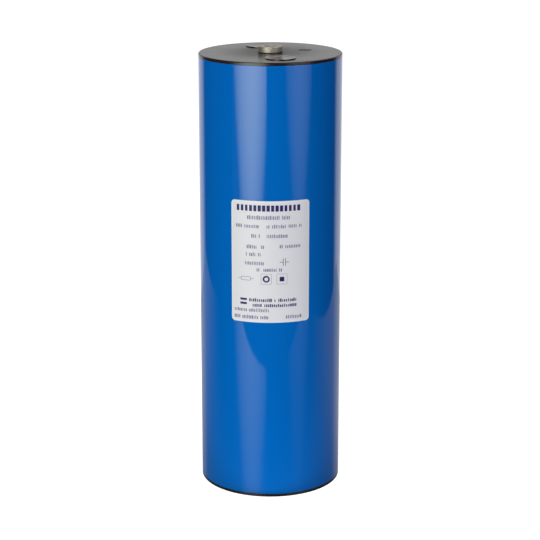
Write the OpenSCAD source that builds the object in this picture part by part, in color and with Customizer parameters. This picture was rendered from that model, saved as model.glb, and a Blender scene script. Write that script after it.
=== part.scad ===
// Surge capacitor, dry type, with one axial female terminal at each end.
// Six metallised film windings stand in series inside an insulating tube. Two moulded covers close the
// tube, each cover carries a terminal, and the whole inside is cast in resin through the top cover.
// The origin is the centre of the bottom cover's face, on the resting plane. +Z runs up the axis,
// and the nameplate faces -Y.

/* [Case] */
// Outside diameter of the case tube
tube_d = 116; // [96:1:145]
// Wall thickness of the case tube
tube_wall = 3; // [2:0.5:5]
// Height from the resting plane to the outer face of the top cover
case_h = 360; // [290:5:450]
// Radius on the outer edge of each end of the tube
tube_edge_r = 0.6; // [0.2:0.1:1]

/* [Covers] */
// Thickness of the flange that lies on the end of the tube
flange_t = 2.4; // [2:0.1:4]
// Radius on the outer edge of each cover
cover_edge_r = 1.1; // [0.5:0.1:1.8]
// Thickness of the cover's plate
plate_t = 5; // [4:0.5:8]
// Depth of the spigot below the flange
spigot_len = 14; // [10:1:20]
// Wall thickness of the spigot
spigot_wall = 3; // [2:0.5:4]
// Gap on the radius between spigot and tube
spigot_fit = 0.1; // [0.05:0.05:0.2]
// Diameter of the hub around the terminal
hub_d = 36; // [32:1:40]
// Thickness of the hub under the terminal's collar
web_t = 6; // [5:0.5:8]
// Height of the stiffening ribs below the plate
rib_h = 6; // [3:1:8]
// Thickness of the stiffening ribs
rib_t = 2; // [1.5:0.5:3]

/* [Filling holes] */
// Land between a filling hole and the spigot's inner wall
fill_rim_gap = 4.4; // [2:0.2:6]
// Land between a filling hole and the hub
fill_hub_gap = 4.5; // [2:0.5:7]
// Direction of the front filling hole, counted from +X
fill_angle = -77; // [-80:1:-70]
// Height of the resin button above the cover
button_h = 0.8; // [0.4:0.1:2]
// Radius on the edge of the resin button
button_edge_r = 0.6; // [0.2:0.1:1.5]

/* [Terminals] */
// Diameter of the collar
collar_d = 20; // [18:0.5:22]
// Height of the collar
collar_h = 4.5; // [3:0.5:8]
// Chamfer on the collar's edges
collar_chamfer = 0.3; // [0.2:0.1:0.8]
// Diameter of the shank, M16 fine thread
shank_d = 16; // [14:0.5:16]
// Length of the shank below the collar
shank_len = 21.5; // [21:0.5:28]
// Depth of the flat that stops the shank from turning
flat_depth = 1; // [0.5:0.25:1.5]
// Gap between shank and cover
shank_fit = 0.2; // [0.1:0.05:0.4]
// Nominal diameter of the female thread, M10
thread_d = 10; // [8:0.5:10]
// Pitch of the female thread
thread_pitch = 1.5; // [1:0.25:1.5]
// Depth of the full thread
thread_depth = 18; // [12:1:20]
// Thickness of the seal ring under the collar
seal_t = 0.5; // [0.4:0.1:1.5]
// How far the bottom terminal stays above the resting plane
recess_gap = 0.5; // [0.3:0.1:2]
// Gap between the bottom collar and the wall of its pocket
pocket_fit = 2; // [1:0.5:4]

/* [Terminal hardware] */
// Diameter of the flat washer
washer_d = 30; // [26:1:31]
// Thickness of the flat washer
washer_t = 1.6; // [1:0.2:2]
// Diameter of the lock washer
lock_washer_d = 25; // [24:0.5:26]
// Thickness of the lock washer
lock_washer_t = 2.5; // [1.5:0.5:3]
// Width of the split in the lock washer
lock_washer_split = 2; // [1:0.5:3]
// Width across the flats of the nut
nut_flats = 24; // [22:1:24]
// Height of the nut
nut_h = 7; // [5:1:8]

/* [Windings] */
// Number of windings in series
winding_count = 6; // [4:1:7]
// Free gap between two windings
winding_gap = 5; // [4:0.5:8]
// Distance from a terminal's inner end to the stack
stack_end_gap = 14; // [10:1:20]
// Resin between the stack's sleeve and the case tube
resin_wall = 6.7; // [5:0.5:10]
// Wall thickness of the sleeve
sleeve_t = 1; // [0.6:0.2:2]
// Gap on the radius between windings and sleeve
sleeve_fit = 0.3; // [0.2:0.1:0.6]
// Outside diameter of a winding's core
core_d = 16; // [14:1:20]
// Wall thickness of a winding's core
core_wall = 2; // [1.5:0.25:2.5]

/* [Connections] */
// Width of the copper strips
strip_w = 12; // [8:1:14]
// Thickness of the copper strips
strip_t = 0.8; // [0.5:0.1:1]
// Diameter of the lug at the terminal
lug_d = 28; // [26:1:30]
// Gap between the lug and the upright part of a lead strip
lead_riser_gap = 8; // [4:1:10]
// Gap between the foot of a lead strip and the stand's ring
lead_foot_gap = 6; // [2:1:10]
// Length of a jumper's foot on its winding
foot_len = 14; // [8:1:16]
// Gap between a jumper's fold and the edge of the windings
jumper_edge_gap = 9; // [2:1:12]
// Diameter of a discharge resistor's body
resistor_d = 7; // [5:0.5:8]
// Length of a discharge resistor's body
resistor_len = 24; // [16:1:30]
// Side of a resistor's square lead
resistor_lead_w = 0.8; // [0.6:0.1:1]
// Reach of a resistor's lead past the core's edge
resistor_lead_reach = 8; // [4:1:10]

/* [Stands] */
// Thickness of the stand's ring
stand_t = 3; // [2:0.5:5]
// Width of the stand's seat under the windings
stand_seat = 5; // [3:1:8]
// Gap between the stand and the tube
stand_fit = 0.4; // [0.2:0.1:1]
// Number of legs
leg_count = 6; // [3:1:8]
// Width of a leg
leg_w = 9; // [6:0.5:12]
// Distance that a leg stays inside the edges of the spigot and the ring
leg_inset = 0.3; // [0.2:0.1:0.6]
// Diameter of the scallops that let the resin pass
scallop_d = 12; // [6:1:14]

/* [Nameplate] */
// Width of the nameplate along the tube's surface
plate_w = 65; // [40:1:80]
// Height of the nameplate
plate_h = 100; // [60:1:120]
// Thickness of the nameplate
plate_skin = 0.15; // [0.1:0.05:0.3]
// Height of the nameplate's lower edge
plate_z = 150.5; // [60:0.5:200]
// Corner radius of the nameplate
plate_corner_r = 3; // [1:0.5:6]

/* [Hidden] */
$fn = 96;
over = 1;                                  // how far a cutting body runs past what it cuts
drill_point_deg = 118;                     // included angle of the drill point under the thread
rib_count = 4;                             // ribs of a cover, turned to stand clear of the filling holes

tube_r = tube_d / 2;
tube_ir = tube_r - tube_wall;
spigot_r = tube_ir - spigot_fit;
spigot_ir = spigot_r - spigot_wall;
spigot_end = flange_t + spigot_len;
fill_outer_r = spigot_ir - fill_rim_gap;   // the filling holes take the room between hub and spigot
fill_inner_r = hub_d / 2 + fill_hub_gap;
fill_r = (fill_outer_r - fill_inner_r) / 2;
fill_pitch_r = (fill_outer_r + fill_inner_r) / 2;

collar_r = collar_d / 2;
shank_r = shank_d / 2;
shank_flat = shank_r - flat_depth;         // distance from the axis to the flat
thread_core_r = (thread_d - thread_pitch) / 2;
lead_in = thread_pitch / 2;                // depth of the 45 degree lead-in of the thread

top_seat = 0;
bottom_seat = seal_t + collar_h + recess_gap;
washer_z = web_t;
lug_z = washer_z + washer_t;
lock_washer_z = lug_z + strip_t;
nut_z = lock_washer_z + lock_washer_t;
shank_end = shank_len - seal_t;            // inner end of a shank, counted from its cover's seat

stack_z0 = bottom_seat + shank_end + stack_end_gap;
stack_z1 = case_h - top_seat - shank_end - stack_end_gap;
stack_h = stack_z1 - stack_z0;
winding_pitch = (stack_h + winding_gap) / winding_count;
winding_h = winding_pitch - winding_gap;
sleeve_r = tube_ir - resin_wall;
winding_r = sleeve_r - sleeve_t - sleeve_fit;
core_r = core_d / 2;
core_ir = core_r - core_wall;
stand_ir = winding_r - stand_seat;
lead_riser_r = lug_d / 2 + lead_riser_gap;
lead_foot_end = stand_ir - lead_foot_gap;  // distance from the axis to the end of a lead's foot
jumper_r = winding_r - jumper_edge_gap - foot_len;

// ---- Shared shapes ----

// Places what is drawn from its cover's outer face inwards, along +Z
module from_top() {
    translate([0, 0, case_h]) rotate([180, 0, 0]) children();
}

module ring(outer_r, inner_r, height) {
    difference() {
        cylinder(r = outer_r, h = height);
        translate([0, 0, -over]) cylinder(r = inner_r, h = height + 2 * over);
    }
}

// What is taken off a square edge to round it. The edge is at the origin, and the body lies at -X, +Y
module edge_cut(r) {
    difference() {
        translate([-r, -over]) square([r + over, r + over]);
        translate([-r, r]) circle(r);
    }
}

// The round section of a shank, cut along one flat
module shank_section(r, flat) {
    intersection() {
        circle(r);
        translate([-r - over, -r - over]) square([r + over + flat, 2 * (r + over)]);
    }
}

// ---- Case ----

// Wound glass-fibre tube with a blue gloss coat
module case_tube() {
    length = case_h - 2 * flange_t;
    color("#005CB4")
    translate([0, 0, flange_t])
    rotate_extrude()
    difference() {
        translate([tube_ir, 0]) square([tube_wall, length]);
        translate([tube_r, 0]) edge_cut(tube_edge_r);
        translate([tube_r, length]) mirror([0, 1]) edge_cut(tube_edge_r);
    }
}

// One cover, drawn with its outer face on z = 0 and its spigot along +Z
module cover(seat) {
    difference() {
        union() {
            rotate_extrude() cover_section(seat);
            cover_ribs();
        }
        translate([0, 0, -over])
        linear_extrude(seat + web_t + 2 * over)
        shank_section(shank_r + shank_fit, shank_flat + shank_fit);
        if (seat > 0)
            translate([0, 0, -over]) cylinder(r = collar_r + pocket_fit, h = seat + over);
    }
}

module cover_section(seat) {
    difference() {
        union() {
            square([tube_r, flange_t]);
            square([spigot_r, plate_t]);
            square([hub_d / 2, seat + web_t]);
            translate([spigot_ir, 0]) square([spigot_wall, spigot_end]);
        }
        translate([tube_r, 0]) edge_cut(cover_edge_r);
    }
}

// Ribs from the hub out to the spigot
module cover_ribs() {
    inner = hub_d / 2 - over;
    outer = spigot_ir + spigot_wall / 2;
    for (i = [0:rib_count - 1])
        rotate([0, 0, (i + 0.5) * 360 / rib_count])
        translate([inner, -rib_t / 2, plate_t / 2])
        cube([outer - inner, rib_t, plate_t / 2 + rib_h]);
}

// Centres of the two filling holes, seen from above
module at_filling_holes() {
    for (a = [fill_angle, fill_angle + 180])
        rotate([0, 0, a]) translate([fill_pitch_r, 0, 0]) children();
}

// Moulded top cover with the two filling holes
module top_cover() {
    color("#5A5858")
    difference() {
        from_top() cover(top_seat);
        at_filling_holes()
        translate([0, 0, case_h - plate_t - over]) cylinder(r = fill_r, h = plate_t + 2 * over);
    }
}

// Moulded bottom cover, with a pocket that sinks the terminal
module bottom_cover() {
    color("#5A5858") cover(bottom_seat);
}

// ---- Terminals, drawn inwards from the cover's outer face ----

// Turned bush: collar, flatted shank and blind female thread at its core diameter
module terminal(seat) {
    point_h = thread_core_r / tan(drill_point_deg / 2);
    color("#B9B6AC")
    translate([0, 0, seat - seal_t - collar_h])
    difference() {
        union() {
            rotate_extrude() polygon([
                [0, 0], [collar_r - collar_chamfer, 0], [collar_r, collar_chamfer],
                [collar_r, collar_h - collar_chamfer], [collar_r - collar_chamfer, collar_h], [0, collar_h]
            ]);
            translate([0, 0, collar_h - over])
            linear_extrude(shank_len + over) shank_section(shank_r, shank_flat);
        }
        rotate_extrude() polygon([
            [0, -over], [thread_d / 2 + over, -over], [thread_core_r, lead_in],
            [thread_core_r, lead_in + thread_depth], [0, lead_in + thread_depth + point_h]
        ]);
    }
}

module seal(seat) {
    color("#26262A") translate([0, 0, seat - seal_t]) ring(collar_r, shank_r, seal_t);
}

module washer(seat) {
    color("#B4B6B8") translate([0, 0, seat + washer_z]) ring(washer_d / 2, shank_r, washer_t);
}

module lock_washer(seat) {
    color("#A6A8AA")
    translate([0, 0, seat + lock_washer_z])
    difference() {
        ring(lock_washer_d / 2, shank_r, lock_washer_t);
        translate([-lock_washer_d, -lock_washer_split / 2, -over])
        cube([lock_washer_d, lock_washer_split, lock_washer_t + 2 * over]);
    }
}

module nut(seat) {
    color("#C8B46A")
    translate([0, 0, seat + nut_z])
    difference() {
        cylinder(d = nut_flats / cos(30), h = nut_h, $fn = 6);
        translate([0, 0, -over]) cylinder(r = shank_r, h = nut_h + 2 * over);
    }
}

// Lug, tail, upright and foot of the strip from a terminal to the end winding
module lead(seat) {
    lug_face = seat + lug_z;
    face = seat + shank_end + stack_end_gap;
    tail = lead_riser_r + strip_t;
    color("#D8C8B4")
    difference() {
        union() {
            translate([0, 0, lug_face]) cylinder(d = lug_d, h = strip_t);
            translate([0, -strip_w / 2, lug_face]) cube([tail, strip_w, strip_t]);
            translate([lead_riser_r, -strip_w / 2, lug_face]) cube([strip_t, strip_w, face - lug_face]);
            translate([lead_riser_r, -strip_w / 2, face - strip_t])
            cube([lead_foot_end - lead_riser_r, strip_w, strip_t]);
        }
        translate([0, 0, lug_face - over]) cylinder(r = shank_r, h = strip_t + 2 * over);
    }
}

// ---- Winding stack ----

// Places what is drawn from a winding's lower face, the first winding being 1
module at_winding(i) {
    translate([0, 0, stack_z0 + (i - 1) * winding_pitch]) children();
}

module winding(i) {
    color("#C9C4B4") at_winding(i) ring(winding_r, core_r, winding_h);
}

module core(i) {
    color("#E8E4D8") at_winding(i) ring(core_r, core_ir, winding_h);
}

// Resistor inside the core, with a lead bent over each end onto the winding's face
module resistor(i) {
    color("#7FA0B8")
    at_winding(i) {
        translate([0, 0, (winding_h - resistor_len) / 2]) cylinder(d = resistor_d, h = resistor_len);
        resistor_lead();
        translate([0, 0, winding_h]) rotate([180, 0, 0]) resistor_lead();
    }
}

// Square lead: up from below the winding's face into the body's end, and out along the face
module resistor_lead() {
    w = resistor_lead_w;
    body_z = (winding_h - resistor_len) / 2;
    translate([-w / 2, -w / 2, -w]) cube([w, w, body_z + w + over]);
    translate([-w / 2, -w / 2, -w]) cube([w, core_r + resistor_lead_reach + w / 2, w]);
}

// Strip folded round the gap between a winding and the next, on alternate sides
module jumper(i) {
    side = i % 2 == 0 ? 180 : 0;
    color("#D8C8B4")
    at_winding(i)
    rotate([0, 0, side])
    translate([jumper_r, -strip_w / 2, winding_h])
    difference() {
        cube([foot_len, strip_w, winding_gap]);
        translate([-over, -over, strip_t])
        cube([foot_len + over - strip_t, strip_w + 2 * over, winding_gap - 2 * strip_t]);
    }
}

module stack_sleeve() {
    color("#E6DFC8") translate([0, 0, stack_z0]) ring(sleeve_r, sleeve_r - sleeve_t, stack_h);
}

// Ring under the stack, on legs that stand on the cover's spigot
module stand(stack_face) {
    ring_z = stack_face - stand_t;
    outer = tube_ir - stand_fit;
    leg_x0 = spigot_ir + leg_inset;
    leg_x1 = sqrt(outer * outer - leg_w * leg_w / 4) - leg_inset;
    color("#3C3C40")
    difference() {
        union() {
            translate([0, 0, ring_z]) ring(outer, stand_ir, stand_t);
            for (i = [0:leg_count - 1])
                rotate([0, 0, (i + 0.5) * 360 / leg_count])
                translate([leg_x0, -leg_w / 2, spigot_end])
                cube([leg_x1 - leg_x0, leg_w, ring_z + stand_t / 2 - spigot_end]);
        }
        for (i = [0:leg_count - 1])
            rotate([0, 0, i * 360 / leg_count])
            translate([outer, 0, ring_z - over]) cylinder(d = scallop_d, h = stand_t + 2 * over);
    }
}

// ---- Resin ----

// Cast in one piece through the filling holes. It fills all that the other pieces leave free
module potting_resin() {
    color("#4A4846")
    difference() {
        union() {
            translate([0, 0, spigot_end]) cylinder(r = tube_ir, h = case_h - 2 * spigot_end);
            translate([0, 0, plate_t]) cylinder(r = spigot_ir, h = case_h - 2 * plate_t);
            at_filling_holes() resin_button();
        }
        cover_ribs();
        translate([0, 0, plate_t - over]) cylinder(r = hub_d / 2, h = bottom_seat + web_t - plate_t + over);
        from_top() cover_ribs();
        translate([0, 0, case_h - top_seat - web_t]) cylinder(r = hub_d / 2, h = web_t + over);
        washer(bottom_seat);
        lead(bottom_seat);
        lock_washer(bottom_seat);
        nut(bottom_seat);
        translate([0, 0, bottom_seat]) cylinder(r = shank_r, h = shank_end);
        from_top() {
            washer(top_seat);
            lead(top_seat);
            lock_washer(top_seat);
            nut(top_seat);
            cylinder(r = shank_r, h = shank_end);
            stand(top_seat + shank_end + stack_end_gap);
        }
        stand(bottom_seat + shank_end + stack_end_gap);
        stack_sleeve();
        for (i = [1:winding_count]) {
            at_winding(i) ring(winding_r, core_ir, winding_h);
            resistor(i);
        }
        for (i = [1:winding_count - 1]) jumper(i);
    }
}

// Neck of resin in one filling hole, with the raised skin that surface tension leaves
module resin_button() {
    height = plate_t + over + button_h;
    translate([0, 0, case_h - plate_t - over])
    rotate_extrude()
    difference() {
        square([fill_r, height]);
        translate([fill_r, height]) mirror([0, 1]) edge_cut(min(button_edge_r, button_h));
    }
}

// ---- Nameplate ----

module nameplate() {
    half_angle = plate_w / 2 / tube_r * 180 / PI;
    chord = 2 * tube_r * sin(half_angle);
    inset = plate_corner_r;
    color("#E9EAEC")
    intersection() {
        translate([0, 0, plate_z]) ring(tube_r + plate_skin, tube_r, plate_h);
        translate([0, 0, plate_z])
        rotate([90, 0, 0])
        linear_extrude(tube_r + plate_skin + over)
        translate([-chord / 2, 0]) {
            translate([inset, 0]) square([chord - 2 * inset, plate_h]);
            translate([0, inset]) square([chord, plate_h - 2 * inset]);
            for (x = [inset, chord - inset], y = [inset, plate_h - inset])
                translate([x, y]) circle(plate_corner_r);
        }
    }
}

case_tube();
top_cover();
bottom_cover();
from_top() terminal(top_seat);  // top_terminal
terminal(bottom_seat);  // bottom_terminal
from_top() seal(top_seat);  // top_seal
seal(bottom_seat);  // bottom_seal
from_top() washer(top_seat);  // top_washer
washer(bottom_seat);  // bottom_washer
from_top() lead(top_seat);  // top_lead
lead(bottom_seat);  // bottom_lead
from_top() lock_washer(top_seat);  // top_lock_washer
lock_washer(bottom_seat);  // bottom_lock_washer
from_top() nut(top_seat);  // top_nut
nut(bottom_seat);  // bottom_nut
for (i = [1:winding_count]) {
    winding(i);
    core(i);
    resistor(i);
}
for (i = [1:winding_count - 1]) {
    jumper(i);
}
stack_sleeve();
from_top() stand(top_seat + shank_end + stack_end_gap);  // top_stand
stand(bottom_seat + shank_end + stack_end_gap);  // bottom_stand
potting_resin();
nameplate();
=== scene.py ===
import math

import bmesh
import bpy
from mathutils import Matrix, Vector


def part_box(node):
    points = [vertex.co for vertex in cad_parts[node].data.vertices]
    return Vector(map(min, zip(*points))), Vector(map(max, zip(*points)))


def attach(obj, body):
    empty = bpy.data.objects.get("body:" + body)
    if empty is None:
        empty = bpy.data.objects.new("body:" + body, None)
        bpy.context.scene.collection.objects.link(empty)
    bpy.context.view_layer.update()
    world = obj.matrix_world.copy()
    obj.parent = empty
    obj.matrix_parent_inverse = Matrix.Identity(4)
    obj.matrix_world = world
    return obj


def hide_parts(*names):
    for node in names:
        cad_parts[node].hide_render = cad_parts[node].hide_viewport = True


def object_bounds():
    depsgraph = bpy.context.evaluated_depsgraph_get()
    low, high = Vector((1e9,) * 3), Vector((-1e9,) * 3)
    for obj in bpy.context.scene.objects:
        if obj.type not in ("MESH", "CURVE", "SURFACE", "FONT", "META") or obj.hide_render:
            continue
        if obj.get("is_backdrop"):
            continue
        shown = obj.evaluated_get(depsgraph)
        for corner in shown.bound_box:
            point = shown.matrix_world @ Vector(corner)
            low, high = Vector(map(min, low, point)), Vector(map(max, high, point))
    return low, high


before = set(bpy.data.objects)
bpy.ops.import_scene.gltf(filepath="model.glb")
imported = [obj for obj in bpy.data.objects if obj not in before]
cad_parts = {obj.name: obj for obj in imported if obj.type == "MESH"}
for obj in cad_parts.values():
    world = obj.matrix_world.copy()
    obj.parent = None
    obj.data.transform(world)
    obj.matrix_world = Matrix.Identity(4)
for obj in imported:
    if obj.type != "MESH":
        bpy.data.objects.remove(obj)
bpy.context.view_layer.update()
MM = 0.001

# ---- Camera ----
# The capacitor stands on a table and is seen from the front, a little from above. The lens is long,
# so that the sides of the tube stay nearly parallel.
camera_distance = 1.400
camera_height = 0.5641
camera_aside = -0.0003
camera_tilt = math.radians(15.40)
film_width = 36
lens_length = 116.6


def add_object(name, data):
    """A new object in the scene."""
    made = bpy.data.objects.new(name, data)
    bpy.context.collection.objects.link(made)
    return made


camera = add_object("camera", bpy.data.cameras.new("camera"))
camera.data.sensor_width = film_width
camera.data.lens = lens_length
camera.location = (camera_aside, -camera_distance, camera_height)
camera.rotation_euler = (math.radians(90) - camera_tilt, 0, 0)
bpy.context.scene.camera = camera
bpy.context.scene.view_settings.view_transform = "Standard"

# ---- Studio light ----
# A large softbox stands left of the camera and a smaller one to the right, both brightest in the middle
# of their cloth. Banks of lamps above them fill in, a white card on the table in front of the object
# lights its lower part, and a white backdrop hangs behind it.
stand_distance = 1.6


def place(tree, kind, values=None, **settings):
    """A new node. Each value is a constant or another node's output, under its input's name or number."""
    made = tree.nodes.new(kind)
    for key, value in settings.items():
        setattr(made, key, value)
    for key, value in (values or {}).items():
        if isinstance(value, bpy.types.NodeSocket):
            tree.links.new(value, made.inputs[key])
        else:
            made.inputs[key].default_value = value
    return made


def calc(tree, operation, a, b=0.0, c=0.0):
    """The output of one Math node."""
    return place(tree, "ShaderNodeMath", {0: a, 1: b, 2: c}, operation=operation).outputs[0]


def split(tree, vector):
    """The x, y and z of a vector."""
    return place(tree, "ShaderNodeSeparateXYZ", {0: vector}).outputs


def hang_light(name, light, azimuth, height, lean):
    """Puts a light on a circle round the object and turns it to the axis. The camera doesn't see it."""
    hung = add_object(name, light)
    turn = math.radians(azimuth)
    hung.location = (stand_distance * math.sin(turn), -stand_distance * math.cos(turn), height)
    hung.rotation_euler = (lean, 0, turn)
    hung.visible_camera = False


def add_softbox(name, azimuth, width, top, radiance, tint, bright_spot, bright_reach):
    """A tall area light. Its cloth fades away from a bright spot (aside, height), which narrows towards
    its top and bottom."""
    low = -0.15
    height = top - low
    narrowing = 2.2
    faintest = 0.02
    light = bpy.data.lights.new(name, "AREA")
    light.shape = "RECTANGLE"
    light.size = width
    light.size_y = height
    light.energy = radiance * math.pi * width * height
    light.color = tint
    light.use_nodes = True
    tree = light.node_tree
    tree.nodes.clear()
    spot = split(tree, place(tree, "ShaderNodeNewGeometry").outputs["Parametric"])
    aside = calc(tree, "MULTIPLY_ADD", spot["X"], width, -width / 2 - bright_spot[0])
    above = calc(tree, "MULTIPLY_ADD", spot["Y"], height, low - bright_spot[1])
    aside_share = calc(tree, "POWER", calc(tree, "DIVIDE", aside, bright_reach[0]), 2.0)
    above_share = calc(tree, "POWER", calc(tree, "DIVIDE", above, bright_reach[1]), 2.0)
    narrowed = calc(tree, "MULTIPLY_ADD", above_share, narrowing, 1.0)
    faded = calc(tree, "MULTIPLY_ADD", aside_share, narrowed, above_share)
    strength = calc(tree, "MAXIMUM", calc(tree, "SUBTRACT", 1.0, faded), faintest)
    glow = place(tree, "ShaderNodeEmission", {"Strength": strength})
    place(tree, "ShaderNodeOutputLight", {0: glow.outputs[0]})
    hang_light(name, light, azimuth, (low + top) / 2, math.radians(90))


def add_lamp_bank(name, azimuth, radiance):
    """A square bank of lamps high above the softboxes, leaned down to the object."""
    height = 1.7
    size = 1.15
    light = bpy.data.lights.new(name, "AREA")
    light.size = size
    light.energy = radiance * math.pi * size ** 2
    hang_light(name, light, azimuth, height, math.atan2(stand_distance, height))


add_softbox("key_softbox", azimuth=-34, width=1.72, top=0.95, radiance=4.9, tint=(0.96, 1.0, 0.76),
            bright_spot=(0.14, 0.24), bright_reach=(1.05, 0.60))
add_softbox("fill_softbox", azimuth=45.5, width=1.30, top=0.75, radiance=1.05, tint=(1.0, 1.0, 1.0),
            bright_spot=(0.02, 0.20), bright_reach=(0.78, 0.45))
add_lamp_bank("left_lamp_bank", azimuth=-33, radiance=6.8)
add_lamp_bank("right_lamp_bank", azimuth=52, radiance=4.2)

card_size = (0.55, 0.30)
card_radiance = 0.75
card_place = (-0.12, -0.21, 0.004)
card = add_object("bounce_card", bpy.data.lights.new("bounce_card", "AREA"))
card.data.shape = "RECTANGLE"
card.data.size, card.data.size_y = card_size
card.data.energy = card_radiance * math.pi * card_size[0] * card_size[1]
card.location = card_place
card.rotation_euler = (math.pi, 0, 0)
card.visible_camera = False
card.visible_glossy = False


def ramp(tree, value, start, end, start_value, end_value):
    """A smooth change from start_value to end_value while the value goes from start to end."""
    return place(tree, "ShaderNodeMapRange", {
        "Value": value, "From Min": start, "From Max": end, "To Min": start_value, "To Max": end_value,
    }, interpolation_type="SMOOTHSTEP").outputs["Result"]


# The paint mirrors only the backdrop's cloth. All else gets a wider and softer light from behind, and
# the camera sees plain white.
cloth_slant = 0.05
dark_room = 0.02
plain_white = 1.25
world = bpy.data.worlds.new("studio")
bpy.context.scene.world = world
world.use_nodes = True
air = world.node_tree
air.nodes.clear()
ray = place(air, "ShaderNodeLightPath").outputs
way = split(air, place(air, "ShaderNodeTexCoord").outputs["Generated"])
rear = calc(air, "MULTIPLY_ADD", way["X"], cloth_slant, way["Y"])
lit_cloth = ramp(air, rear, start=0.57, end=0.75, start_value=0.0, end_value=1.2)
dimmed_above = ramp(air, way["Z"], start=-0.05, end=0.08, start_value=1.0, end_value=0.63)
mirrored = calc(air, "MULTIPLY_ADD", lit_cloth, dimmed_above, dark_room)
ambient = ramp(air, way["Y"], start=0.35, end=0.85, start_value=0.13, end_value=1.2)
lit = place(air, "ShaderNodeMix", {"Factor": ray["Is Glossy Ray"], "A": ambient, "B": mirrored}).outputs[0]
seen = place(air, "ShaderNodeMix", {"Factor": ray["Is Camera Ray"], "A": lit, "B": plain_white}).outputs[0]
place(air, "ShaderNodeOutputWorld", {0: place(air, "ShaderNodeBackground", {"Strength": seen}).outputs[0]})

# ---- Table ----
# A plain white table, lit from below as a light table is, so that only a faint shadow lies at the foot.
# What mirrors in the paint is its glass sheet, which ends a third of a metre in front of the object.
table_reach = 8
glass_low = (-0.62, -0.388)
glass_high = (0.53, 0.52)
glow_slant = 0.2


def new_material(name, **constants):
    """A material with its tree and its Principled shader, whose sockets get the constants."""
    finish = bpy.data.materials.new(name)
    finish.use_nodes = True
    shader = finish.node_tree.nodes["Principled BSDF"]
    for key, value in constants.items():
        shader.inputs[key.replace("_", " ")].default_value = value
    return finish, finish.node_tree, shader


def add_plane(name, low, high, finish):
    """A level rectangle of the stage, from its low corner (x, y) to its high one."""
    mesh = bpy.data.meshes.new(name)
    corners = [(low[0], low[1], 0), (high[0], low[1], 0), (high[0], high[1], 0), (low[0], high[1], 0)]
    mesh.from_pydata(corners, [], [(0, 1, 2, 3)])
    mesh.materials.append(finish)
    plane = add_object(name, mesh)
    plane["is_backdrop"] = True
    return plane


white_table, _, _ = new_material(
    "white table", Base_Color=(0.45, 0.45, 0.45, 1), Roughness=0.9, Specular_IOR_Level=0.0,
    Emission_Color=(1, 1, 1, 1), Emission_Strength=0.96)
table = add_plane("table", (-table_reach, -table_reach), (table_reach, table_reach), white_table)
table.visible_glossy = False
table.visible_diffuse = False

glass, tree, shader = new_material(
    "table glass", Base_Color=(0.20, 0.20, 0.20, 1), Metallic=1.0, Roughness=0.12,
    Emission_Color=(1, 1, 1, 1))
spot = split(tree, place(tree, "ShaderNodeTexCoord").outputs["Object"])
towards_rear = calc(tree, "MULTIPLY_ADD", spot["X"], glow_slant, spot["Y"])
glow = ramp(tree, towards_rear, start=-0.17, end=0.22, start_value=0.0, end_value=0.37)
tree.links.new(glow, shader.inputs["Emission Strength"])
sheet = add_plane("table_glass", glass_low, glass_high, glass)
sheet.visible_camera = False
sheet.visible_shadow = False

# ---- Case tube ----
# A wound glass-fibre tube with a thick coat of blue gloss paint. It is cut square at both ends, where
# the paint rounds its edges, and the covers close it flush.
edge_r = 0.6 * MM
edge_steps = 6
round_steps = 288
merge_gap = 0.001 * MM
sharp_angle = math.radians(35)
tube_low, tube_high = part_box("case_tube")
tube_r = tube_high.x
tube_inner_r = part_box("potting_resin")[1].x


def new_geometry_tree(name, inputs):
    """An empty Geometry Nodes tree, with each input's kind of socket by its name, and its inputs' outputs."""
    tree = bpy.data.node_groups.new(name, "GeometryNodeTree")
    tree.interface.new_socket("Geometry", in_out="OUTPUT", socket_type="NodeSocketGeometry")
    for label, kind in inputs.items():
        tree.interface.new_socket(label, in_out="INPUT", socket_type="NodeSocket" + kind)
    return tree, place(tree, "NodeGroupInput").outputs


def combine(tree, x=0.0, y=0.0, z=0.0):
    """A vector from its x, y and z."""
    return place(tree, "ShaderNodeCombineXYZ", {"X": x, "Y": y, "Z": z}).outputs[0]


def end_geometry_tree(tree, shape, finish):
    """Ends the tree in real geometry with its material."""
    whole = place(tree, "GeometryNodeRealizeInstances", {"Geometry": shape}).outputs[0]
    painted = place(tree, "GeometryNodeSetMaterial", {"Geometry": whole, "Material": finish}).outputs[0]
    place(tree, "NodeGroupOutput", {"Geometry": painted})


def made_by(tree, name, sizes, start=None):
    """The plain mesh object that the tree makes from these sizes, and from a start mesh if it takes one."""
    piece = add_object(name, start or bpy.data.meshes.new(name))
    maker = piece.modifiers.new("maker", "NODES")
    maker.node_group = tree
    for socket in tree.interface.items_tree:
        if socket.in_out == "INPUT" and socket.name in sizes:
            maker[socket.identifier] = sizes[socket.name]
    finished = piece.evaluated_get(bpy.context.evaluated_depsgraph_get())
    mesh = bpy.data.meshes.new_from_object(finished)
    finish = mesh.materials[-1]
    mesh.materials.clear()
    mesh.materials.append(finish)
    piece.modifiers.remove(maker)
    piece.data = mesh
    return piece


def mend(mesh):
    """Merges doubled corners and turns all faces outwards."""
    skin = bmesh.new()
    skin.from_mesh(mesh)
    bmesh.ops.remove_doubles(skin, verts=skin.verts, dist=merge_gap)
    bmesh.ops.recalc_face_normals(skin, faces=skin.faces)
    skin.to_mesh(mesh)
    skin.free()


def smooth(piece):
    """Smooth shading that keeps real edges sharp and lets the large faces lead."""
    piece.data.shade_smooth()
    piece.data.set_sharp_from_angle(angle=sharp_angle)
    weighted = piece.modifiers.new("weighted normals", "WEIGHTED_NORMAL")
    weighted.keep_sharp = True
    return piece


def finish_piece(piece, slot, *nodes):
    """Hands the piece over: it rides on the root body and stands for those nodes, which it hides. The slot is
    not used.
    """
    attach(piece, "root")
    if nodes:
        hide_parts(*nodes)


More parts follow.
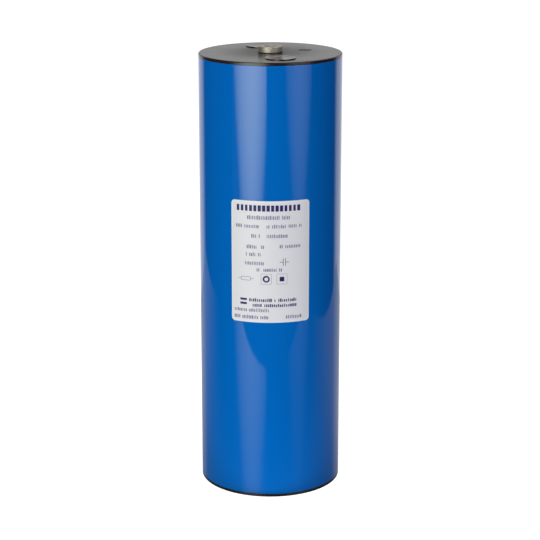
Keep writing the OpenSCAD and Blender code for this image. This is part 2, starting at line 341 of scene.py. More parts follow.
def new_shader_group(name, inputs, outputs):
    """An empty shader node group, with each socket's kind by its name, and its inputs' outputs."""
    group = bpy.data.node_groups.new(name, "ShaderNodeTree")
    for label, kind in inputs.items():
        group.interface.new_socket(label, in_out="INPUT", socket_type="NodeSocket" + kind)
    for label, kind in outputs.items():
        group.interface.new_socket(label, in_out="OUTPUT", socket_type="NodeSocket" + kind)
    return group, place(group, "NodeGroupInput").outputs


def use_group(tree, group, values):
    """Places a shader node group in a material with its own values, and gives its outputs."""
    return place(tree, "ShaderNodeGroup", values, node_tree=group).outputs


def millimetres(tree):
    """The place on the piece, in millimetres."""
    spot = place(tree, "ShaderNodeTexCoord").outputs["Object"]
    return place(tree, "ShaderNodeVectorMath", {0: spot, "Scale": 1000.0}, operation="SCALE").outputs[0]


grain, given = new_shader_group("grain", {"Size": "Float", "Detail": "Float"}, {"Height": "Float"})
grain_noise = place(grain, "ShaderNodeTexNoise", {
    "Vector": millimetres(grain), "Scale": calc(grain, "DIVIDE", 1.0, given["Size"]),
    "Detail": given["Detail"]})
place(grain, "NodeGroupOutput", {"Height": grain_noise.outputs["Fac"]})

uneven, given = new_shader_group("uneven tone", {
    "Color": "Color", "Patch": "Float", "Change": "Float"}, {"Color": "Color", "Shift": "Float"})
patches = place(uneven, "ShaderNodeTexNoise", {
    "Vector": millimetres(uneven), "Scale": calc(uneven, "DIVIDE", 1.0, given["Patch"]), "Detail": 2.0})
shift = calc(uneven, "MULTIPLY", calc(uneven, "SUBTRACT", patches.outputs["Fac"], 0.5), given["Change"])
tone = place(uneven, "ShaderNodeHueSaturation", {
    "Value": calc(uneven, "MULTIPLY_ADD", shift, 2.0, 1.0), "Color": given["Color"]})
place(uneven, "NodeGroupOutput", {"Color": tone.outputs[0], "Shift": shift})


def colour_unevenly(tree, shader, colour, patch, change):
    """Gives the shader a colour that changes over patches of that size, and returns how far it is off."""
    tone = use_group(tree, uneven, {"Color": (*colour, 1), "Patch": patch, "Change": change})
    tree.links.new(tone["Color"], shader.inputs["Base Color"])
    return tone["Shift"]


def relief(tree, shader, height, depth):
    """Bumps the shader by a height from 0 to 1 that is depth millimetres deep."""
    bump = place(tree, "ShaderNodeBump", {"Strength": 1.0, "Distance": depth * MM, "Height": height})
    tree.links.new(bump.outputs[0], shader.inputs["Normal"])


def new_finish(name, colour, patch, change, roughness, grain_size, detail, depth, **constants):
    """A material with an uneven tone and gloss and a fine grain. Sizes and the depth are millimetres."""
    finish, tree, shader = new_material(name, **constants)
    shift = colour_unevenly(tree, shader, colour, patch, change)
    tree.links.new(calc(tree, "ADD", shift, roughness), shader.inputs["Roughness"])
    relief(tree, shader, use_group(tree, grain, {"Size": grain_size, "Detail": detail})["Height"], depth)
    return finish


blue_gloss = new_finish("blue gloss paint", (0.0, 0.111, 0.465), patch=60.0, change=0.015, roughness=0.05,
                        grain_size=4.0, detail=1.0, depth=0.004, IOR=1.5)

wall, given = new_geometry_tree("tube wall", {
    "Outer Radius": "Float", "Inner Radius": "Float", "Bottom": "Float", "Top": "Float",
    "Edge Radius": "Float", "Steps Round": "Int", "Paint": "Material"})
middle_r = calc(wall, "MULTIPLY", calc(wall, "ADD", given["Outer Radius"], given["Inner Radius"]), 0.5)
ring = place(wall, "GeometryNodeCurvePrimitiveCircle", {
    "Resolution": given["Steps Round"], "Radius": middle_r})
section = place(wall, "GeometryNodeCurvePrimitiveQuadrilateral", {
    "Width": calc(wall, "SUBTRACT", given["Outer Radius"], given["Inner Radius"]),
    "Height": calc(wall, "SUBTRACT", given["Top"], given["Bottom"])})
rounded = place(wall, "GeometryNodeFilletCurve", {
    "Curve": section.outputs[0], "Count": edge_steps, "Radius": given["Edge Radius"]}, mode="POLY")
swept = place(wall, "GeometryNodeCurveToMesh", {
    "Curve": ring.outputs[0], "Profile Curve": rounded.outputs[0]})
middle_z = calc(wall, "MULTIPLY", calc(wall, "ADD", given["Top"], given["Bottom"]), 0.5)
raised = place(wall, "GeometryNodeTransform", {
    "Geometry": swept.outputs[0], "Translation": combine(wall, z=middle_z)})
end_geometry_tree(wall, raised.outputs[0], given["Paint"])

case = made_by(wall, "painted_case_tube", {
    "Outer Radius": tube_r, "Inner Radius": tube_inner_r, "Bottom": tube_low.z, "Top": tube_high.z,
    "Edge Radius": edge_r, "Steps Round": round_steps, "Paint": blue_gloss})
mend(case.data)
smooth(case)
finish_piece(case, "blue_tube", "case_tube")

# ---- Covers ----
# Two injection-moulded covers of black plastic, with a grained face and a rounded rim, bonded into the
# ends of the tube. The face is duller round the hub, where the mould's gate was.
hub_edge_r = 10.0
outer_face_r = 50.0
hub_roughness = 0.38
rim_roughness = 0.20

axis_distance, _ = new_shader_group("axis distance", {}, {"Distance": "Float"})
flat_spot = place(axis_distance, "ShaderNodeVectorMath", {0: millimetres(axis_distance), 1: (1, 1, 0)},
                  operation="MULTIPLY").outputs[0]
reach = place(axis_distance, "ShaderNodeVectorMath", {0: flat_spot}, operation="LENGTH").outputs["Value"]
place(axis_distance, "NodeGroupOutput", {"Distance": reach})


def merged_copy(node, name, finish):
    """A copy of a CAD node, its loose triangles merged into one skin."""
    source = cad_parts[node].data
    mesh = bpy.data.meshes.new(name)
    mesh.from_pydata([v.co for v in source.vertices], [], [list(f.vertices) for f in source.polygons])
    skin = bmesh.new()
    skin.from_mesh(mesh)
    bmesh.ops.remove_doubles(skin, verts=skin.verts, dist=merge_gap)
    skin.to_mesh(mesh)
    skin.free()
    mesh.materials.append(finish)
    return add_object(name, mesh)


moulded, tree, shader = new_material("moulded black plastic", IOR=1.5)
shift = colour_unevenly(tree, shader, (0.017, 0.0115, 0.0105), patch=14.0, change=0.06)
distance = use_group(tree, axis_distance, {})["Distance"]
dullness = ramp(tree, distance, hub_edge_r, outer_face_r, hub_roughness, rim_roughness)
tree.links.new(calc(tree, "ADD", dullness, shift), shader.inputs["Roughness"])
relief(tree, shader, use_group(tree, grain, {"Size": 0.5, "Detail": 3.0})["Height"], 0.0015)

for node in ("top_cover", "bottom_cover"):
    finish_piece(smooth(merged_copy(node, f"moulded_{node}", moulded)), "cover_plastic", node)

# ---- Cover marks ----
# A short row of plain near-black blocks beside the terminal on the top cover, in a film of a
# twentieth of a millimetre that shines little.
mark_t = 0.05 * MM
mark_sink = 0.01 * MM


def letter_rows(name, rows):
    """A mesh of edges for rows of print, each (start, end, height) on its baseline, in millimetres."""
    mesh = bpy.data.meshes.new(name)
    ends = [(x * MM, y * MM, 0) for start, end, _ in rows for x, y in (start, end)]
    mesh.from_pydata(ends, [(2 * i, 2 * i + 1) for i in range(len(rows))], [])
    heights = mesh.attributes.new("letter_height", "FLOAT", "POINT")
    heights.data.foreach_set("value", [height * MM for _, _, height in rows for _ in range(2)])
    return mesh


def named_value(tree, label):
    """A number that the start mesh carries under that name."""
    made = place(tree, "GeometryNodeInputNamedAttribute", {"Name": label}, data_type="FLOAT")
    return next(socket for socket in made.outputs if socket.enabled)


def random_value(tree, low, high, seed):
    """A random number for each point. The node keeps its limits for plain numbers in sockets 2 and 3."""
    return place(tree, "FunctionNodeRandomValue", {2: low, 3: high, 8: seed}, data_type="FLOAT").outputs[1]


block_sizes = {
    "Rows": "Geometry", "Step": "Float", "Width": "Float", "Width Change": "Float", "Least Height": "Float",
    "Gaps": "Float", "Thickness": "Float", "Seed": "Int"}
blocks, given = new_geometry_tree("print blocks", block_sizes)
lines = place(blocks, "GeometryNodeMeshToCurve", {0: given["Rows"]})
points = place(blocks, "GeometryNodeResampleCurve", {
    "Curve": lines.outputs[0], "Length": given["Step"]}, mode="LENGTH")
unit = place(blocks, "GeometryNodeTransform", {
    "Geometry": place(blocks, "GeometryNodeMeshCube", {"Vertices X": 5}).outputs["Mesh"],
    "Translation": (0, 0.5, 0.5)})
narrow = calc(blocks, "SUBTRACT", 1.0, given["Width Change"])
wide = calc(blocks, "ADD", 1.0, given["Width Change"])
block_width = calc(blocks, "MULTIPLY", given["Width"], random_value(blocks, narrow, wide, given["Seed"]))
share = random_value(blocks, given["Least Height"], 1.0, calc(blocks, "ADD", given["Seed"], 1.0))
block_height = calc(blocks, "MULTIPLY", named_value(blocks, "letter_height"), share)
chance = random_value(blocks, 0.0, 1.0, calc(blocks, "ADD", given["Seed"], 2.0))
kept = calc(blocks, "GREATER_THAN", chance, given["Gaps"])
along = place(blocks, "FunctionNodeAlignRotationToVector", {
    "Vector": place(blocks, "GeometryNodeInputTangent").outputs[0]}, axis="X")
printed = place(blocks, "GeometryNodeInstanceOnPoints", {
    "Points": points.outputs[0], "Selection": kept, "Instance": unit.outputs[0],
    "Rotation": along.outputs[0], "Scale": combine(blocks, block_width, block_height, given["Thickness"])})
place(blocks, "NodeGroupOutput", {"Geometry": place(
    blocks, "GeometryNodeRealizeInstances", {"Geometry": printed.outputs[0]}).outputs[0]})


def use_tree(tree, group, values):
    """Places a Geometry Nodes group in a tree, and gives its geometry."""
    return place(tree, "GeometryNodeGroup", values, node_tree=group).outputs[0]


flat_marks, given = new_geometry_tree("marks on the cover", {
    **block_sizes, "Height": "Float", "Ink": "Material"})
stamped = use_tree(flat_marks, blocks, {label: given[label] for label in block_sizes})
lifted = place(flat_marks, "GeometryNodeTransform", {
    "Geometry": stamped, "Translation": combine(flat_marks, z=given["Height"])})
end_geometry_tree(flat_marks, lifted.outputs[0], given["Ink"])


def new_ink(name, colour, shine=0.5):
    """Printer's ink: matt, and a little uneven."""
    ink, tree, shader = new_material(name, IOR=1.45, Specular_IOR_Level=shine)
    shift = colour_unevenly(tree, shader, colour, patch=1.5, change=0.12)
    tree.links.new(calc(tree, "ADD", shift, 0.45), shader.inputs["Roughness"])
    return ink


# Near-black blocks with little shine, for the dark marks on the cover.
dark_mark_finish = new_ink("dark mark finish", (0.004, 0.004, 0.006), shine=0.1)
marks = made_by(flat_marks, "cover_marks", {
    "Step": 2.6 * MM, "Width": 2.0 * MM, "Width Change": 0.15, "Least Height": 0.8, "Gaps": 0.0,
    "Thickness": mark_t, "Seed": 4, "Height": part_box("top_cover")[1].z - mark_sink, "Ink": dark_mark_finish},
    letter_rows("cover_marks", [((23.0, 9.3), (30.3, 6.4), 8.0)]))
mend(marks.data)
finish_piece(marks, "print_navy")

# ---- Terminals ----
# Turned brass bushes, nickel plated: a chamfered collar, a flatted shank and a tapped M10 blind hole.
# Each is drawn from its collar's face inwards and clamps its cover with a nut from inside.
thread_core_r = 4.25
thread_major_r = 5.0
thread_pitch = 1.5
thread_length = 18.75
thread_steps = 151
crest_share = 0.25
root_share = 0.875
drill_tip = 21.3
collar_r = 10.0
collar_h = 4.5
collar_chamfer = 0.3
shank_r = 8.0
shank_end = 26.0
shank_chamfer = 0.8
flat_x = 7.0
turn_steps = 96
tolerance = 0.01


def corner_place(tree):
    """The x, y and z of each corner of the geometry."""
    return split(tree, place(tree, "GeometryNodeInputPosition").outputs[0])


bore, given = new_geometry_tree("female thread", {
    "Core Radius": "Float", "Major Radius": "Float", "Pitch": "Float", "Length": "Float",
    "Steps Round": "Int", "Steps Along": "Int", "Metal": "Material"})
wrap_sheet = place(bore, "GeometryNodeMeshGrid", {
    "Size X": 1.0, "Size Y": given["Length"], "Vertices X": given["Steps Round"],
    "Vertices Y": given["Steps Along"]})
spot = corner_place(bore)
depth = calc(bore, "MULTIPLY_ADD", given["Length"], 0.5, spot["Y"])
turns = calc(bore, "ADD", calc(bore, "DIVIDE", depth, given["Pitch"]), spot["X"])
saw = calc(bore, "MULTIPLY_ADD", calc(bore, "FRACT", turns), 2.0, -1.0)
groove = place(bore, "ShaderNodeMapRange", {
    "Value": calc(bore, "ABSOLUTE", saw), "From Min": crest_share, "From Max": root_share,
}).outputs["Result"]
left_over = calc(bore, "SUBTRACT", given["Length"], depth)
run_out = place(bore, "ShaderNodeMapRange", {
    "Value": left_over, "From Min": 0.0, "From Max": given["Pitch"]}).outputs["Result"]
full_depth = calc(bore, "SUBTRACT", given["Major Radius"], given["Core Radius"])
cut = calc(bore, "MULTIPLY", calc(bore, "MULTIPLY", groove, run_out), full_depth)
lead_in = calc(bore, "SUBTRACT", full_depth, depth)
wall_r = calc(bore, "ADD", given["Core Radius"], calc(bore, "MAXIMUM", cut, lead_in))
angle = calc(bore, "MULTIPLY", spot["X"], 2 * math.pi)
bore_wall = combine(bore, calc(bore, "MULTIPLY", wall_r, calc(bore, "COSINE", angle)),
                    calc(bore, "MULTIPLY", wall_r, calc(bore, "SINE", angle)), depth)
threaded = place(bore, "GeometryNodeSetPosition", {
    "Geometry": wrap_sheet.outputs["Mesh"], "Position": bore_wall})
end_geometry_tree(bore, threaded.outputs[0], given["Metal"])

turned_marks, given = new_shader_group("turned marks", {"Pitch": "Float"}, {"Height": "Float"})
feed = combine(turned_marks, use_group(turned_marks, axis_distance, {})["Distance"],
               split(turned_marks, millimetres(turned_marks))["Z"])
lathe_lines = place(turned_marks, "ShaderNodeTexNoise", {
    "Vector": feed, "Scale": calc(turned_marks, "DIVIDE", 1.0, given["Pitch"]), "Detail": 2.0})
place(turned_marks, "NodeGroupOutput", {"Height": lathe_lines.outputs["Fac"]})


def new_turned_metal(name, colour, roughness, pitch, depth):
    """Turned metal: lathe marks round the axis and a faint change of tone."""
    metal, tree, shader = new_material(name, Metallic=1.0)
    shift = colour_unevenly(tree, shader, colour, patch=5.0, change=0.10)
    tree.links.new(calc(tree, "ADD", shift, roughness), shader.inputs["Roughness"])
    relief(tree, shader, use_group(tree, turned_marks, {"Pitch": pitch})["Height"], depth)
    return metal


def add_lathe(skin, outline):
    """Adds the skin that an outline of (radius, depth) in millimetres makes when it turns about the axis."""
    angles = [2 * math.pi * (step / turn_steps - 0.5) for step in range(turn_steps)]
    rings = []
    for radius, depth in outline:
        if radius == 0:
            rings.append([skin.verts.new((0, 0, depth * MM))] * turn_steps)
            continue
        spots = [(radius * math.cos(angle), radius * math.sin(angle), depth) for angle in angles]
        rings.append([skin.verts.new([along * MM for along in spot]) for spot in spots])
    for near, far in zip(rings, rings[1:]):
        for step in range(turn_steps):
            after = (step + 1) % turn_steps
            corners = dict.fromkeys([near[step], near[after], far[after], far[step]])
            skin.faces.new(list(corners))


def piece_from(name, skin, finish):
    """The piece that a finished skin makes, mended and with its material."""
    mesh = bpy.data.meshes.new(name)
    skin.to_mesh(mesh)
    skin.free()
    mend(mesh)
    mesh.materials.append(finish)
    return add_object(name, mesh)


def turned_piece(name, outlines, face_z, inwards, finish, start=None):
    """A turned piece, drawn in depth from face_z. Inwards is 1 where it goes up and -1 where it goes down.
    What lies deeper than the collar and within the shank gets the shank's flat."""
    skin = bmesh.new()
    if start:
        skin.from_mesh(start)
    for outline in outlines:
        add_lathe(skin, outline)
    for corner in skin.verts:
        if corner.co.z > (collar_h - tolerance) * MM and corner.co.xy.length < (shank_r + tolerance) * MM:
            corner.co.x = min(corner.co.x, flat_x * MM)
        corner.co.z = face_z + inwards * corner.co.z
    return smooth(piece_from(name, skin, finish))


def both_ends(node):
    """For the top and the bottom node: its end, the height of its outer face and the way inwards."""
    return (("top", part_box("top_" + node)[1].z, -1), ("bottom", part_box("bottom_" + node)[0].z, 1))


nickel = new_turned_metal("nickel plated brass", (0.60, 0.56, 0.50), roughness=0.55, pitch=0.25, depth=0.002)
thread = made_by(bore, "thread", {
    "Core Radius": thread_core_r * MM, "Major Radius": thread_major_r * MM, "Pitch": thread_pitch * MM,
    "Length": thread_length * MM, "Steps Round": turn_steps + 1, "Steps Along": thread_steps,
    "Metal": nickel})
bush = [(thread_major_r, 0), (collar_r - collar_chamfer, 0), (collar_r, collar_chamfer),
        (collar_r, collar_h - collar_chamfer), (collar_r - collar_chamfer, collar_h), (shank_r, collar_h),
        (shank_r, shank_end - shank_chamfer), (shank_r - shank_chamfer, shank_end), (0, shank_end)]
drill_point = [(thread_core_r, thread_length), (0, drill_tip)]
for end, face_z, inwards in both_ends("terminal"):
    name = f"nickel_{end}_terminal"
    terminal = turned_piece(name, [bush, drill_point], face_z, inwards, nickel, thread.data)
    finish_piece(terminal, "nickel_brass", f"{end}_terminal")
bpy.data.objects.remove(thread)

# ---- Seals ----
# A ring of black rubber on the shank, between the terminal's collar and the cover. The nut squeezes it,
# so that its edge swells out round.
seal_r = 10.05
swell = 0.25

rubber = new_finish("black rubber", (0.012, 0.012, 0.013), patch=3.0, change=0.2, roughness=0.6,
                    grain_size=0.2, detail=2.0, depth=0.01, IOR=1.5)
swollen_edge = [math.radians(30 * step - 90) for step in range(7)]
ring = [(shank_r, 0.0),
        *[(seal_r - swell + swell * math.cos(turn), swell + swell * math.sin(turn)) for turn in swollen_edge],
        (shank_r, 2 * swell), (shank_r, 0.0)]
for end, face_z, inwards in both_ends("seal"):
    seal = turned_piece(f"rubber_{end}_seal", [ring], face_z, inwards, rubber)
    finish_piece(seal, "seal_rubber", f"{end}_seal")

# ---- Potting resin ----
# Black casting resin, poured through the two holes of the top cover. Its surface tension leaves a
# glossy button with a rounded edge in each hole, and the skin sinks to a shallow dish as it sets.

# Each ring of the dish is (width, drop) in millimetres, from the button's edge to its middle.
dish_rings = ((1.0, 0.02), (1.2, 0.05), (1.4, 0.08), (1.6, 0.10), (1.8, 0.10))

resin = new_finish("black casting resin", (0.012, 0.0115, 0.011), patch=8.0, change=0.04, roughness=0.10,
                   grain_size=9.0, detail=0.5, depth=0.06, IOR=1.52)
cast_resin = merged_copy("potting_resin", "cast_potting_resin", resin)
skin = bmesh.new()
skin.from_mesh(cast_resin.data)
button_top = max(corner.co.z for corner in skin.verts) - tolerance * MM
flat_faces = [face for face in skin.faces if min(corner.co.z for corner in face.verts) > button_top]
for face in bmesh.ops.dissolve_faces(skin, faces=flat_faces)["region"]:
    for ring_width, drop in dish_rings:
        bmesh.ops.inset_individual(skin, faces=[face], thickness=ring_width * MM, depth=-drop * MM)
skin.to_mesh(cast_resin.data)
skin.free()
finish_piece(smooth(cast_resin), "casting_resin", "potting_resin")

# ---- Nameplate ----
# A self-adhesive label of satin white film, bent round the tube. Its corners are rounded, and the
# printed field inside is a shade greyer than the border.
plate_w = 65.0
plate_h = 100.0
plate_corner_r = 3.0
plate_border = 1.4
plate_columns = 161
plate_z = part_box("nameplate")[0].z
overlap = 0.02 * MM
film_r = tube_r + 0.10 * MM
field_r = film_r + 0.012 * MM

bent, given = new_geometry_tree("bent film", {
    "Tube Radius": "Float", "Inner Radius": "Float", "Outer Radius": "Float", "Width": "Float",
    "Height": "Float", "Corner Radius": "Float", "Bottom": "Float", "Columns": "Int", "Film": "Material"})
strip = place(bent, "GeometryNodeMeshCube", {
    "Size": (2.0, 2.0, 2.0), "Vertices X": given["Columns"], "Vertices Y": 2, "Vertices Z": 2})
spot = corner_place(bent)
half_w = calc(bent, "MULTIPLY", given["Width"], 0.5)
half_h = calc(bent, "MULTIPLY", given["Height"], 0.5)
around = calc(bent, "MULTIPLY", half_w, calc(bent, "SINE", calc(bent, "MULTIPLY", spot["X"], math.pi / 2)))
straight_w = calc(bent, "SUBTRACT", half_w, given["Corner Radius"])
past = calc(bent, "SUBTRACT", calc(bent, "ABSOLUTE", around), straight_w)
past = calc(bent, "DIVIDE", calc(bent, "MAXIMUM", past, 0.0), given["Corner Radius"])
arc = calc(bent, "SUBTRACT", 1.0, calc(bent, "MULTIPLY", past, past))
arc = calc(bent, "SQRT", calc(bent, "MAXIMUM", arc, 0.0))
corner_cut = calc(bent, "MULTIPLY", given["Corner Radius"], calc(bent, "SUBTRACT", 1.0, arc))
up = calc(bent, "MULTIPLY", spot["Z"], calc(bent, "SUBTRACT", half_h, corner_cut))
skin_r = place(bent, "ShaderNodeMapRange", {
    "Value": spot["Y"], "From Min": -1.0, "From Max": 1.0, "To Min": given["Outer Radius"],
    "To Max": given["Inner Radius"]}).outputs["Result"]


def on_tube(tree, radius, angle, height):
    """The place at that radius and height, turned by the angle from the tube's front."""
    front = calc(tree, "MULTIPLY", calc(tree, "MULTIPLY", radius, calc(tree, "COSINE", angle)), -1.0)
    return combine(tree, calc(tree, "MULTIPLY", radius, calc(tree, "SINE", angle)), front, height)


film_wall = on_tube(bent, skin_r, calc(bent, "DIVIDE", around, given["Tube Radius"]),
                    calc(bent, "ADD", calc(bent, "ADD", given["Bottom"], half_h), up))
wrapped = place(bent, "GeometryNodeSetPosition", {"Geometry": strip.outputs["Mesh"], "Position": film_wall})
end_geometry_tree(bent, wrapped.outputs[0], given["Film"])


def new_film(name, colour):
    """Satin printing film, hardly uneven."""
    return new_finish(name, colour, patch=25.0, change=0.015, roughness=0.33, grain_size=0.8, detail=1.0,
                      depth=0.002, IOR=1.46)


def bent_film(name, border, inner_r, outer_r, finish):
    """A bent film whose edge lies that many millimetres inside the label's."""
    piece = made_by(bent, name, {
        "Tube Radius": tube_r, "Inner Radius": inner_r, "Outer Radius": outer_r,
        "Width": (plate_w - 2 * border) * MM, "Height": (plate_h - 2 * border) * MM,
        "Corner Radius": (plate_corner_r - border / 2) * MM, "Bottom": plate_z + border * MM,
        "Columns": plate_columns, "Film": finish})
    mend(piece.data)
    return smooth(piece)


label_film = new_film("label film", (0.68, 0.68, 0.74))
label = bent_film("nameplate_film", 0.0, tube_r - overlap, film_r, label_film)
finish_piece(label, "nameplate_film", "nameplate")
field_film = new_film("printed field", (0.635, 0.635, 0.72))
field = bent_film("nameplate_field", plate_border, film_r - overlap, field_r, field_film)
finish_piece(field, "nameplate_film")

# ---- Nameplate print ----
# Rows of plain blocks in navy and grey ink, with a few plain shapes and the common signs of a resistor
# and a capacitor. All places go from the label's middle and up from its lower edge, in millimetres.
ink_base = field_r - 0.004 * MM
ink_t = 0.018 * MM
stroke_step = 0.5
hairline = 0.22
thin_line = 0.35
sign_line = 0.55
ring_steps = 48
figure_y = 36.3
frame_half = 4.2
ring_x = -3.3
square_x = 9.3
square_half = 1.9
bar_x = -22.0
resistor_x = -20.0
resistor_half = 3.9
resistor_half_h = 1.4
capacitor_x = 11.2
capacitor_y = 50.2
plate_half = 3.1
plate_gap_half = 0.9
sign_lead_half = 1.4

wrap, given = new_geometry_tree("wrap round the tube", {
    "Print": "Geometry", "Radius": "Float", "Bottom": "Float"})
spot = corner_place(wrap)
ink_r = calc(wrap, "ADD", given["Radius"], spot["Z"])
ink_angle = calc(wrap, "DIVIDE", spot["X"], given["Radius"])
ink_wall = on_tube(wrap, ink_r, ink_angle, calc(wrap, "ADD", given["Bottom"], spot["Y"]))
place(wrap, "NodeGroupOutput", {"Geometry": place(wrap, "GeometryNodeSetPosition", {
    "Geometry": given["Print"], "Position": ink_wall}).outputs[0]})

row_print, given = new_geometry_tree("print on the label", {
    **block_sizes, "Radius": "Float", "Bottom": "Float", "Ink": "Material"})
end_geometry_tree(row_print, use_tree(row_print, wrap, {
    "Print": use_tree(row_print, blocks, {label: given[label] for label in block_sizes}),
    "Radius": given["Radius"], "Bottom": given["Bottom"]}), given["Ink"])

line_print, given = new_geometry_tree("lines on the label", {
    "Lines": "Geometry", "Step": "Float", "Thickness": "Float", "Radius": "Float", "Bottom": "Float",
    "Ink": "Material"})
paths = place(line_print, "GeometryNodeMeshToCurve", {0: given["Lines"]})
level = place(line_print, "GeometryNodeSetCurveNormal", {"Curve": paths.outputs[0]}, mode="Z_UP")
stepped = place(line_print, "GeometryNodeResampleCurve", {
    "Curve": level.outputs[0], "Length": given["Step"]}, mode="LENGTH")
pen = place(line_print, "GeometryNodeCurvePrimitiveQuadrilateral", {"Width": 1.0, "Height": 1.0})
drawn = place(line_print, "GeometryNodeCurveToMesh", {
    "Curve": stepped.outputs[0], "Profile Curve": pen.outputs[0], "Fill Caps": True,
    "Scale": named_value(line_print, "line_width")})
spot = corner_place(line_print)
upper_side = calc(line_print, "GREATER_THAN", spot["Z"], 0.0)
ink_height = calc(line_print, "MULTIPLY", upper_side, given["Thickness"])
pressed = combine(line_print, spot["X"], spot["Y"], ink_height)
flat_lines = place(line_print, "GeometryNodeSetPosition", {
    "Geometry": drawn.outputs[0], "Position": pressed})
end_geometry_tree(line_print, use_tree(line_print, wrap, {
    "Print": flat_lines.outputs[0], "Radius": given["Radius"], "Bottom": given["Bottom"]}), given["Ink"])


def line_paths(name, lines):
    """A mesh of edges for drawn lines, each (width, points) in millimetres."""
    mesh = bpy.data.meshes.new(name)
    points, edges, widths = [], [], []
    for width, path in lines:
        first = len(points)
        points += [(x * MM, y * MM, 0) for x, y in path]
        edges += [(start, start + 1) for start in range(first, len(points) - 1)]
        widths += [width * MM] * len(path)
    mesh.from_pydata(points, edges, [])
    mesh.attributes.new("line_width", "FLOAT", "POINT").data.foreach_set("value", widths)
    return mesh


def level_path(x, y, half_length):
    """A level stroke through its middle."""
    return [(x - half_length, y), (x + half_length, y)]


def box_path(x, y, half_width, half_height):
    """The closed outline of a box round its middle."""
    corners = ((-1, -1), (1, -1), (1, 1), (-1, 1), (-1, -1))
    return [(x + half_width * aside, y + half_height * above) for aside, above in corners]


def ring_path(x, y, radius):
    """The closed outline of a circle round its middle, in short steps."""
    turns = [2 * math.pi * step / ring_steps for step in range(ring_steps + 1)]
    return [(x + radius * math.cos(turn), y + radius * math.sin(turn)) for turn in turns]


def joined(name, parts):
    """One object from several plain ones."""
    skin = bmesh.new()
    for part in parts:
        skin.from_mesh(part.data)
    finish = parts[0].data.materials[0]
    for part in parts:
        bpy.data.objects.remove(part)
    return piece_from(name, skin, finish)


def print_rows(name, rows, step, width, gaps, seed, ink, width_change=0.3, least_height=0.72):
    """Rows of blocks on the label, each (start, end, baseline, height) in millimetres. Step and width are
    the blocks', and gaps is the share of them that is left out."""
    return made_by(row_print, name, {
        "Step": step * MM, "Width": width * MM, "Width Change": width_change, "Least Height": least_height,
        "Gaps": gaps, "Thickness": ink_t, "Seed": seed, "Radius": ink_base, "Bottom": plate_z, "Ink": ink},
        letter_rows(name, [((start, base), (end, base), height) for start, end, base, height in rows]))


def print_lines(name, lines, ink):
    """Drawn lines on the label."""
    return made_by(line_print, name, {
        "Step": stroke_step * MM, "Thickness": ink_t, "Radius": ink_base, "Bottom": plate_z, "Ink": ink},
        line_paths(name, lines))


navy = new_ink("navy ink", (0.0097, 0.007, 0.114))
navy_blocks = print_rows("navy_blocks", [(-26.5, 23.0, 91.7, 4.9)], step=3.5, width=2.4, gaps=0.0, seed=1,
                         ink=navy, width_change=0.15, least_height=1.0)
navy_rows = print_rows("navy_rows", [(-16.6, 20.8, 17.4, 2.8), (-13.9, 20.8, 13.1, 2.7)],
                       step=1.55, width=1.0, gaps=0.08, seed=12, ink=navy)
navy_lines = print_lines("navy_lines", [
    (1.3, ring_path(ring_x, figure_y, 2.2)),
    (2 * square_half, level_path(square_x, figure_y, square_half)),
    (1.8, level_path(bar_x, 19.0, 2.8)), (1.8, level_path(bar_x, 15.6, 2.8))], navy)
finish_piece(joined("nameplate_print_navy", [navy_blocks, navy_rows, navy_lines]), "print_navy")

grey = new_ink("grey ink", (0.135, 0.135, 0.27))
grey_rows = print_rows("grey_rows", [
    (-18.3, 15.2, 85.0, 3.5), (-29.3, -8.5, 78.0, 3.0), (-2.7, 11.9, 78.0, 3.0), (15.0, 25.1, 78.2, 3.0),
    (-16.3, -7.4, 70.1, 3.2), (-2.6, 13.2, 70.1, 3.2), (-18.7, -4.2, 61.2, 3.2), (7.9, 24.0, 61.6, 3.0),
    (-19.5, -8.2, 55.0, 3.2), (-20.3, -5.8, 47.7, 3.2), (-10.7, 8.7, 42.5, 2.8),
    (-29.5, -1.6, 8.8, 3.0), (-29.5, -2.2, 2.9, 3.0)], step=1.35, width=0.8, gaps=0.12, seed=21, ink=grey)
date_row = print_rows("date_row", [(13.1, 25.1, 3.2, 3.0)], step=1.35, width=1.0, gaps=0.08, seed=31,
                      ink=grey)
sign_sides = []
for side in (-1, 1):
    lead_x = resistor_x + side * (resistor_half + sign_lead_half)
    plate_x = capacitor_x + side * plate_gap_half
    sign_sides += [
        (thin_line, level_path(lead_x, figure_y, sign_lead_half)),
        (sign_line, [(plate_x, capacitor_y - plate_half), (plate_x, capacitor_y + plate_half)]),
        (sign_line, level_path(plate_x + side * sign_lead_half, capacitor_y, sign_lead_half))]
grey_lines = print_lines("grey_lines", [
    (hairline, box_path(ring_x, figure_y, frame_half, frame_half)),
    (hairline, box_path(square_x, figure_y, frame_half, frame_half)),
    (thin_line, box_path(resistor_x, figure_y, resistor_half, resistor_half_h)), *sign_sides], grey)
finish_piece(joined("nameplate_print_grey", [grey_rows, date_row, grey_lines]), "print_grey")

# ---- Terminal hardware ----
# Flat washers and split lock washers of zinc-plated steel, and thin hexagon nuts turned from brass.
# Inside each cover they clamp the terminal and the lug of its lead.


def refinish(finish, *nodes):
    """Gives CAD nodes their finish. Their shapes stay as they are."""
    for node in nodes:
        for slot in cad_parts[node].material_slots:
            slot.material = finish


zinc = new_finish("zinc plated steel", (0.55, 0.57, 0.60), patch=2.5, change=0.15, roughness=0.36,
                  grain_size=0.4, detail=4.0, depth=0.004, Metallic=1.0)
refinish(zinc, "top_washer", "bottom_washer", "top_lock_washer", "bottom_lock_washer")
brass = new_turned_metal("turned brass", (0.60, 0.46, 0.18), roughness=0.28, pitch=0.3, depth=0.003)
refinish(brass, "top_nut", "bottom_nut")

# ---- Copper strips ----
# The leads and jumpers are stamped from tinned copper strip and folded. They are soldered to the zinc
# on the ends of the windings.


def numbered(prefix):
    """The CAD nodes of a numbered series."""
    return sorted(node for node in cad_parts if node.startswith(prefix))


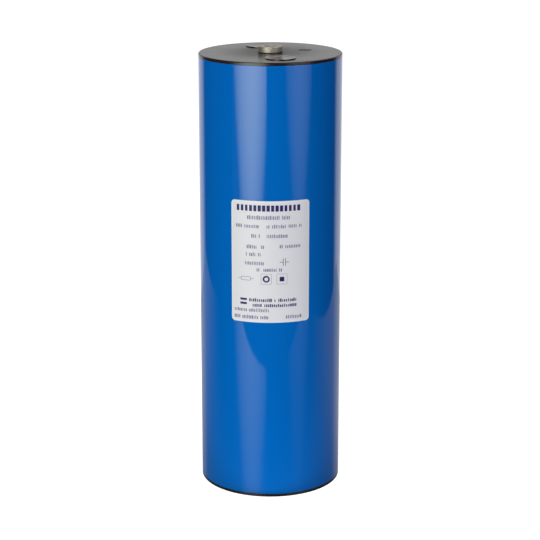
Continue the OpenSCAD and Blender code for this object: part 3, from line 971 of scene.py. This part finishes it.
tinned = new_finish("tinned copper", (0.68, 0.63, 0.57), patch=4.0, change=0.25, roughness=0.32,
                    grain_size=1.2, detail=3.0, depth=0.01, Metallic=1.0)
refinish(tinned, "top_lead", "bottom_lead", *numbered("jumper_"))

# ---- Windings ----
# Metallised film wound on a moulded plastic core. The ends are sprayed with zinc, which is grey and
# rough, and the outer turns are clear film that shows its winding lines.


def mixed_colour(tree, share, first, second):
    """The first colour where the share is 0 and the second where it is 1. They use sockets 6 and 7."""
    return place(tree, "ShaderNodeMix", {"Factor": share, 6: first, 7: second}, data_type="RGBA").outputs[2]


end_slope = 0.7
winding, tree, shader = new_material("wound film", IOR=1.49)
facing = split(tree, place(tree, "ShaderNodeNewGeometry").outputs["Normal"])["Z"]
on_end = calc(tree, "GREATER_THAN", calc(tree, "ABSOLUTE", facing), end_slope)
spray = use_group(tree, uneven, {"Color": (0.42, 0.42, 0.41, 1), "Patch": 1.2, "Change": 0.3})
wound = use_group(tree, uneven, {"Color": (0.62, 0.58, 0.47, 1), "Patch": 9.0, "Change": 0.12})
tree.links.new(mixed_colour(tree, on_end, wound["Color"], spray["Color"]), shader.inputs["Base Color"])
tree.links.new(calc(tree, "MULTIPLY", on_end, 0.8), shader.inputs["Metallic"])
tree.links.new(calc(tree, "MULTIPLY_ADD", on_end, 0.35, 0.28), shader.inputs["Roughness"])
coarse = use_group(tree, grain, {"Size": 0.35, "Detail": 3.0})["Height"]
fine_lines = use_group(tree, turned_marks, {"Pitch": 0.6})["Height"]
texture = place(tree, "ShaderNodeMix", {"Factor": on_end, "A": fine_lines, "B": coarse})
relief(tree, shader, texture.outputs[0], 0.03)
refinish(winding, *numbered("winding_"))

core = new_finish("core plastic", (0.80, 0.77, 0.70), patch=6.0, change=0.05, roughness=0.4,
                  grain_size=0.5, detail=2.0, depth=0.005, IOR=1.49)
refinish(core, *numbered("core_"))

# ---- Discharge resistors ----
# A ceramic body with a blue coating in each core. The leads at its ends are bare tinned wire, bent over
# and soldered to the two ends of the winding.
coat_half = 12.1
tinned_wire = (0.66, 0.63, 0.58, 1)

for node in numbered("resistor_"):
    low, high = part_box(node)
    coated, tree, shader = new_material(node.replace("_", " "), IOR=1.5)
    middle = (low.z + high.z) / 2 / MM
    off_middle = calc(tree, "ABSOLUTE", calc(tree, "SUBTRACT", split(tree, millimetres(tree))["Z"], middle))
    wire = calc(tree, "GREATER_THAN", off_middle, coat_half)
    coat = use_group(tree, uneven, {"Color": (0.20, 0.36, 0.48, 1), "Patch": 2.0, "Change": 0.08})
    tree.links.new(mixed_colour(tree, wire, coat["Color"], tinned_wire), shader.inputs["Base Color"])
    tree.links.new(wire, shader.inputs["Metallic"])
    tree.links.new(calc(tree, "ADD", coat["Shift"], 0.35), shader.inputs["Roughness"])
    relief(tree, shader, use_group(tree, grain, {"Size": 0.3, "Detail": 2.0})["Height"], 0.01)
    refinish(coated, node)

# ---- Sleeve and stands ----
# A pressboard sleeve holds the stack together. It stands between two moulded rings on legs, which
# rest on the covers and let the resin pass.
board = new_finish("pressboard", (0.62, 0.54, 0.38), patch=3.0, change=0.12, roughness=0.75,
                   grain_size=0.6, detail=5.0, depth=0.03, IOR=1.45)
refinish(board, "stack_sleeve")
legs = new_finish("stand plastic", (0.05, 0.05, 0.055), patch=6.0, change=0.1, roughness=0.45,
                  grain_size=0.4, detail=3.0, depth=0.008, IOR=1.5)
refinish(legs, "top_stand", "bottom_stand")

low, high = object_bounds()
